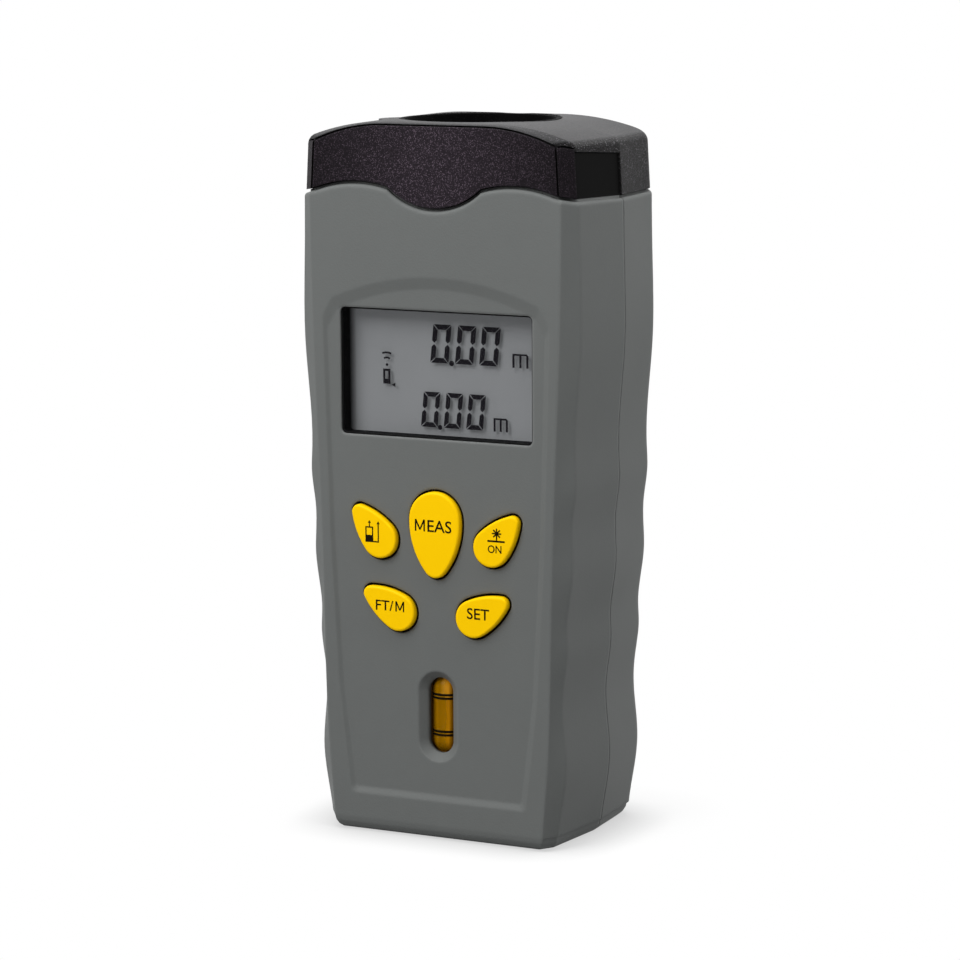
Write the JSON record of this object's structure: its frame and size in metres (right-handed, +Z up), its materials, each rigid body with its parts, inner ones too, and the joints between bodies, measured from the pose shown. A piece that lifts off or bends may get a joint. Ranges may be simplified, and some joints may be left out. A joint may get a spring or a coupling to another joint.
{
  "type": "laser distance meter",
  "caption": "Hand-held distance meter with a horn and laser pointer in its black head, a grey display, yellow keys and a level vial.",
  "frame": {"origin": "middle of the bounding box, on the flat base the meter stands on", "axes": "+Z up towards the horn, -Y out of the display and keys, +X to the reader's right"},
  "size_m": [0.06, 0.0366, 0.1335],
  "materials": {
    "shell_grey": "fine even texture, matt",
    "cap_black": "speckled texture, semi-matt",
    "bezel_black": "fine speckled texture",
    "inlay_black": "smooth, semi-matt",
    "key_yellow": "smooth, satin",
    "lcd_glass": "grey-green reflective display",
    "frame_black": "matt",
    "contact_rubber": "striped elastomer",
    "board_green": "solder mask, satin",
    "mat_grey": "moulded silicone",
    "can_aluminium": "drawn, satin",
    "mesh_metal": "woven grille",
    "gasket_rubber": "moulded",
    "laser_brass": "turned",
    "lens_glass": "clear, polished",
    "chip_black": "moulded",
    "capacitor_sleeve": "printed sleeve",
    "ferrite": "ferrite and varnished wire",
    "vial_amber": "clear amber acrylic with black rings",
    "bubble_air": "gas bubble",
    "cradle_grey": "matt",
    "battery_case": "painted steel with bare terminals",
    "snap_plastic": "moulded",
    "lead_wire": "insulated wire",
    "pad_foam": "foam",
    "screw_steel": "zinc plated"
  },
  "bodies": {
    "case": {"front_shell": "shell_grey", "back_shell": "shell_grey", "cap_bezel": "bezel_black", "cap_hood": "cap_black", "cap_inlays": "inlay_black", "horn": "cap_black", "transducer_gasket": "gasket_rubber", "transducer": "can_aluminium", "transducer_mesh": "mesh_metal", "laser_barrel": "laser_brass", "laser_lens": "lens_glass", "lcd_panel": "lcd_glass", "lcd_frame": "frame_black", "lcd_strips": "contact_rubber", "main_board": "board_green", "keypad_membrane": "mat_grey", "main_chip": "chip_black", "capacitors": "capacitor_sleeve", "pulse_transformer": "ferrite", "buzzer": "chip_black", "vial_tube": "vial_amber", "vial_cradle": "cradle_grey", "battery": "battery_case", "battery_snap": "snap_plastic", "battery_leads": "lead_wire", "board_screws": "screw_steel", "case_screws": "screw_steel"},
    "key_measure": {"key_measure": "key_yellow"},
    "key_reference": {"key_reference": "key_yellow"},
    "key_laser": {"key_laser": "key_yellow"},
    "key_units": {"key_units": "key_yellow"},
    "key_set": {"key_set": "key_yellow"},
    "battery_door": {"battery_door": "shell_grey", "door_pad": "pad_foam"},
    "vial_bubble": {"vial_bubble": "bubble_air"}
  },
  "joints": [
    {"name": "key_measure_press", "type": "slide", "parent": "case", "child": "key_measure", "axis": [0, 1, 0], "range_m": [0, 0.001], "stiffness_N_per_m": 1500},
    {"name": "key_reference_press", "type": "slide", "parent": "case", "child": "key_reference", "axis": [0, 1, 0], "range_m": [0, 0.001], "stiffness_N_per_m": 1500},
    {"name": "key_laser_press", "type": "slide", "parent": "case", "child": "key_laser", "axis": [0, 1, 0], "range_m": [0, 0.001], "stiffness_N_per_m": 1500},
    {"name": "key_units_press", "type": "slide", "parent": "case", "child": "key_units", "axis": [0, 1, 0], "range_m": [0, 0.001], "stiffness_N_per_m": 1500},
    {"name": "key_set_press", "type": "slide", "parent": "case", "child": "key_set", "axis": [0, 1, 0], "range_m": [0, 0.001], "stiffness_N_per_m": 1500},
    {"name": "door_hinge", "type": "hinge", "parent": "case", "child": "battery_door", "pos_m": [0, 0.0172, 0.0081], "axis": [-1, 0, 0], "range_deg": [0, 85]},
    {"name": "bubble_slide", "type": "slide", "parent": "case", "child": "vial_bubble", "axis": [0, 0, 1], "range_m": [-0.0094, 0], "stiffness_N_per_m": 0.4, "springref_m": 0.004}
  ]
}
